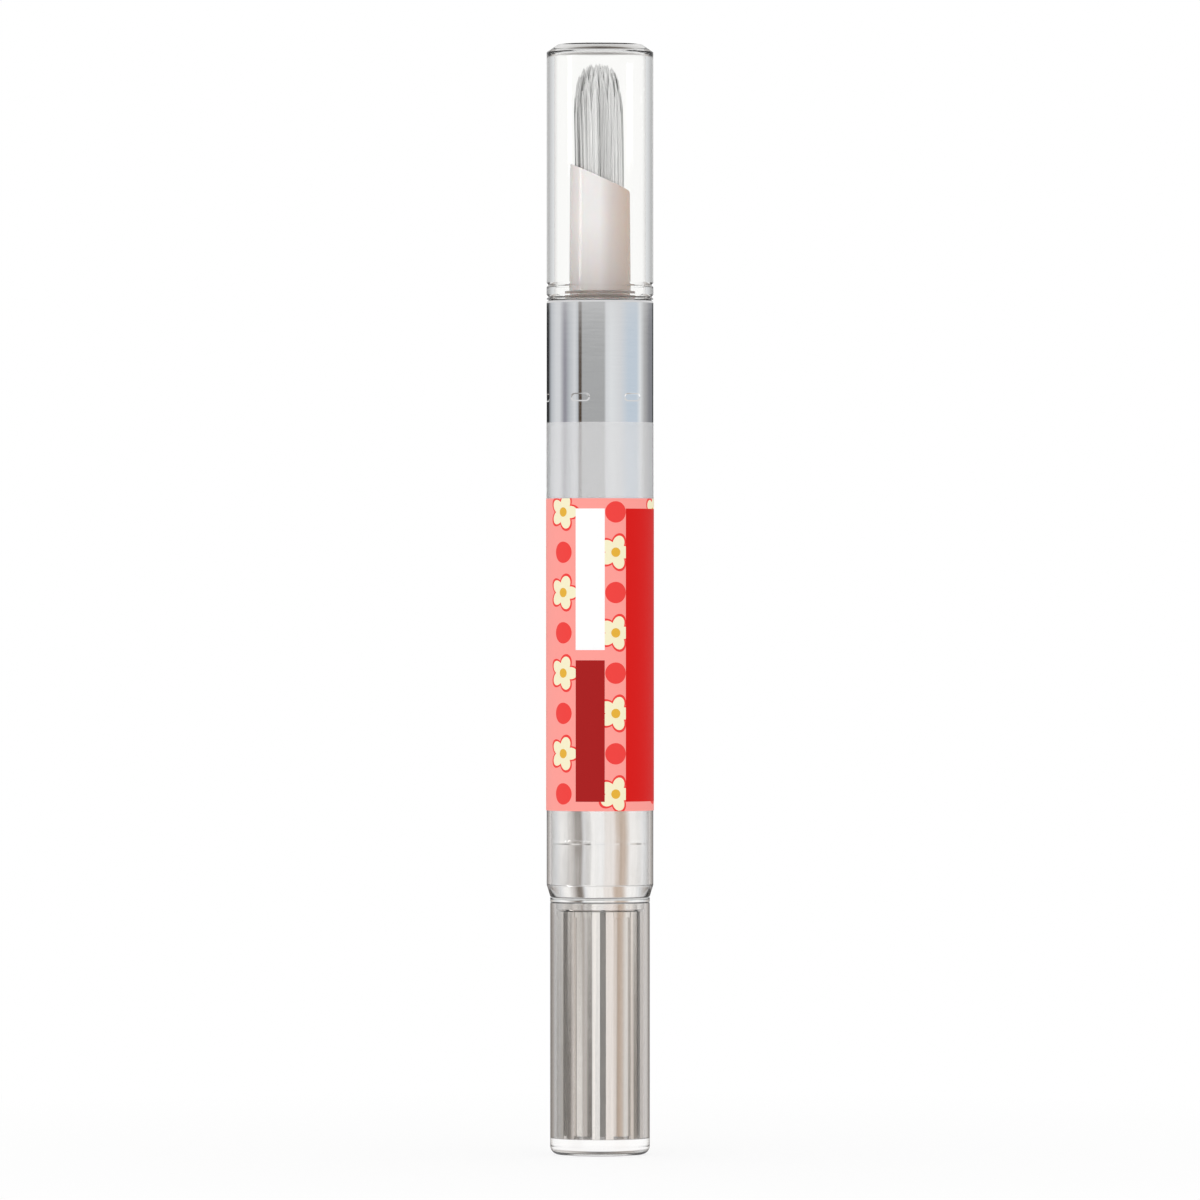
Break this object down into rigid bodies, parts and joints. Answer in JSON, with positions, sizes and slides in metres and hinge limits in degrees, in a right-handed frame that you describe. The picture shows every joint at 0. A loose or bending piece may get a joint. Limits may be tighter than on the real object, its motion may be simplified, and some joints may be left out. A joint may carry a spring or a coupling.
{
  "type": "nail oil pen",
  "caption": "Twist-up nail oil pen with a clear snap cap, slant-cut brush, metal collar, clear barrel and clear twist knob.",
  "frame": {"origin": "centre of the flat lower end of the knob, on which the pen stands", "axes": "+Z along the pen's axis towards the cap; -Y is the front that the picture shows; the ferrule's slanted mouth is longer on the -X side"},
  "size_m": [0.0126, 0.0126, 0.13],
  "materials": {
    "clear_knob": "clear moulded styrene",
    "clear_ring": "clear moulded styrene",
    "clear_barrel": "clear moulded styrene",
    "clear_cap": "clear moulded styrene, polished",
    "satin_silver": "moulded plastic with a satin silver metallised coat",
    "natural_acetal": "natural acetal, satin",
    "screw_plastic": "natural polypropylene, satin",
    "seal_polyethylene": "natural low-density polyethylene, soft satin",
    "seal_rubber": "nitrile rubber",
    "label_film": "coral pink print on matt polypropylene film, bare translucent film above",
    "collar_metal": "bright anodised silver",
    "ferrule_plastic": "translucent white polypropylene",
    "root_resin": "set epoxy",
    "bristle_nylon": "white nylon filament",
    "feed_steel": "drawn stainless tube"
  },
  "bodies": {
    "barrel": {"barrel": "clear_barrel", "wrap_label": "label_film", "collar": "collar_metal", "neck_plug": "natural_acetal", "neck_seal": "seal_rubber", "brush_ferrule": "ferrule_plastic", "bristle_root": "root_resin", "bristle_tuft": "bristle_nylon", "feed_tube": "feed_steel", "end_ring": "clear_ring", "ratchet_housing": "satin_silver", "drive_nut": "natural_acetal"},
    "cap": {"cap": "clear_cap"},
    "knob": {"knob_shell": "clear_knob", "drive_sleeve": "satin_silver", "thrust_washer": "satin_silver", "pawl_ring": "natural_acetal"},
    "screw": {"screw_shaft": "screw_plastic"},
    "piston": {"piston_core": "screw_plastic", "piston_seal": "seal_polyethylene"}
  },
  "joints": [
    {"name": "cap_pull", "type": "slide", "parent": "barrel", "child": "cap", "axis": [0, 0, 1], "range_m": [0, 0.04]},
    {"name": "knob_twist", "type": "hinge", "parent": "barrel", "child": "knob", "pos_m": [0, 0, 0.0148], "axis": [0, 0, 1], "range_deg": [0, 4860]},
    {"name": "screw_slide", "type": "slide", "parent": "knob", "child": "screw", "axis": [0, 0, 1], "range_m": [0, 0.027]},
    {"name": "piston_slide", "type": "slide", "parent": "barrel", "child": "piston", "axis": [0, 0, 1], "range_m": [0, 0.027]}
  ],
  "couplings": [
    {"joint": "screw_slide", "follows": "knob_twist", "m_per_rad": 0.00031831},
    {"joint": "piston_slide", "follows": "knob_twist", "m_per_rad": 0.00031831}
  ]
}
